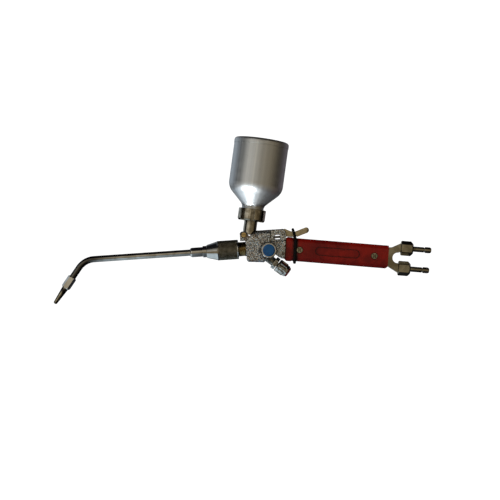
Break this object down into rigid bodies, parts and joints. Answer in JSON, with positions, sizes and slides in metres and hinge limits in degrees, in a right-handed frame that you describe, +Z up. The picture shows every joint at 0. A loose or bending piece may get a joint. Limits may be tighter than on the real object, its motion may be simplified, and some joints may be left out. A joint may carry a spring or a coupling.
{
  "type": "powder spray welding torch",
  "caption": "Hand torch that feeds metal powder from a top hopper into a gas flame at a bent tube's tip, with a thumb lever and gas valves.",
  "frame": {"origin": "on the handle's axis at the middle of the hand's place, between the two shells", "axes": "+X along the handle towards the hose inlets, +Z up towards the powder hopper, +Y to the side away from the oxygen valve"},
  "size_m": [0.465, 0.0788, 0.2268],
  "materials": {
    "cast_chrome": "sand-cast brass, chrome plated, coarse skin",
    "chrome": "turned, chrome plated, a little tarnished",
    "lever_chrome": "cast, chrome plated, warm tint",
    "cup_aluminium": "spun and satin finished",
    "brass": "turned, bare",
    "steel": "ground",
    "copper_pipe": "drawn tube",
    "red_plastic": "moulded, satin",
    "black_rubber": "moulded ring",
    "fibre": "pressed fibre",
    "ptfe": "turned PTFE",
    "blue_plastic": "moulded cap",
    "red_cap": "moulded cap"
  },
  "bodies": {
    "torch": {"gun_body": "cast_chrome", "front_spigot": "brass", "union_nut": "chrome", "union_washer": "fibre", "injector": "brass", "hopper_neck": "chrome", "neck_set_screw": "brass", "hopper_gasket": "black_rubber", "powder_valve_seat": "brass", "rod_packing": "ptfe", "rod_gland": "brass", "rod_spring": "steel", "lever_pivot_pin": "steel", "retaining_ring": "black_rubber", "handle_left": "red_plastic", "handle_right": "red_plastic", "handle_screws": "brass", "screw_inserts": "brass", "oxygen_pipe": "copper_pipe", "fuel_pipe": "copper_pipe", "inlet_fork": "chrome", "oxygen_hose_nut": "chrome", "fuel_hose_nut": "chrome", "oxygen_hose_tail": "chrome", "fuel_hose_tail": "chrome", "oxygen_bonnet": "chrome", "oxygen_packing_nut": "chrome", "oxygen_packing": "ptfe", "fuel_bonnet": "chrome", "fuel_packing_nut": "chrome", "fuel_packing": "ptfe"},
    "spray_tube_body": {"spray_tube": "chrome", "tube_ferrule": "chrome", "tube_collar": "chrome", "tip_nut": "chrome", "spray_tip": "chrome"},
    "hopper_nut_body": {"hopper_nut": "chrome"},
    "hopper_cup_body": {"hopper_cup": "cup_aluminium"},
    "hopper_lid_body": {"hopper_lid": "cup_aluminium", "lid_seal": "black_rubber"},
    "lever_body": {"powder_lever": "lever_chrome", "lever_link_pin": "steel"},
    "rod_body": {"powder_valve_rod": "steel", "powder_valve_seal": "black_rubber"},
    "oxygen_needle_body": {"oxygen_needle": "steel"},
    "oxygen_knob_body": {"oxygen_spindle": "steel", "oxygen_knob": "chrome", "oxygen_cap": "blue_plastic", "oxygen_knob_screw": "steel"},
    "fuel_needle_body": {"fuel_needle": "steel"},
    "fuel_knob_body": {"fuel_spindle": "steel", "fuel_knob": "chrome", "fuel_cap": "red_cap", "fuel_knob_screw": "steel"}
  },
  "joints": [
    {"name": "spray_tube_swivel", "type": "hinge", "parent": "torch", "child": "spray_tube_body", "pos_m": [-0.14714, 0, -0.00887], "axis": [0.989, 0, 0.1478], "range_deg": [-180, 180]},
    {"name": "hopper_nut_turn", "type": "hinge", "parent": "torch", "child": "hopper_nut_body", "pos_m": [-0.11068, 0, 0.03794], "axis": [-0.0558, 0, -0.9984], "range_deg": [0, 1440]},
    {"name": "hopper_cup_rise", "type": "slide", "parent": "torch", "child": "hopper_cup_body", "axis": [0.0558, 0, 0.9984], "range_m": [0, 0.006]},
    {"name": "hopper_lid_lift", "type": "slide", "parent": "hopper_cup_body", "child": "hopper_lid_body", "axis": [0.0558, 0, 0.9984], "range_m": [0, 0.03]},
    {"name": "powder_lever_lift", "type": "hinge", "parent": "torch", "child": "lever_body", "pos_m": [-0.0699, 0, 0.01889], "axis": [0, -1, 0], "range_deg": [0, 20], "stiffness_Nm_per_rad": 0.2, "deforming": ["retaining_ring"]},
    {"name": "powder_valve_slide", "type": "slide", "parent": "torch", "child": "rod_body", "axis": [0.989, 0, 0.1478], "range_m": [0, 0.00141], "deforming": ["rod_spring"]},
    {"name": "oxygen_needle_slide", "type": "slide", "parent": "torch", "child": "oxygen_needle_body", "axis": [0, -1, 0], "range_m": [0, 0.0015]},
    {"name": "oxygen_knob_turn", "type": "hinge", "parent": "oxygen_needle_body", "child": "oxygen_knob_body", "pos_m": [-0.0864, -0.012, -0.0036], "axis": [0, -1, 0], "range_deg": [0, 540]},
    {"name": "fuel_needle_slide", "type": "slide", "parent": "torch", "child": "fuel_needle_body", "axis": [0.8536, 0, -0.521], "range_m": [0, 0.0015]},
    {"name": "fuel_knob_turn", "type": "hinge", "parent": "fuel_needle_body", "child": "fuel_knob_body", "pos_m": [-0.08656, 0, -0.01264], "axis": [0.8536, 0, -0.521], "range_deg": [0, 540]}
  ],
  "couplings": [
    {"joint": "hopper_nut_turn", "follows": "hopper_cup_rise", "rad_per_m": 4188.8},
    {"joint": "powder_valve_slide", "follows": "powder_lever_lift", "m_per_rad": 0.004},
    {"joint": "oxygen_knob_turn", "follows": "oxygen_needle_slide", "rad_per_m": 6283.2},
    {"joint": "fuel_knob_turn", "follows": "fuel_needle_slide", "rad_per_m": 6283.2}
  ]
}
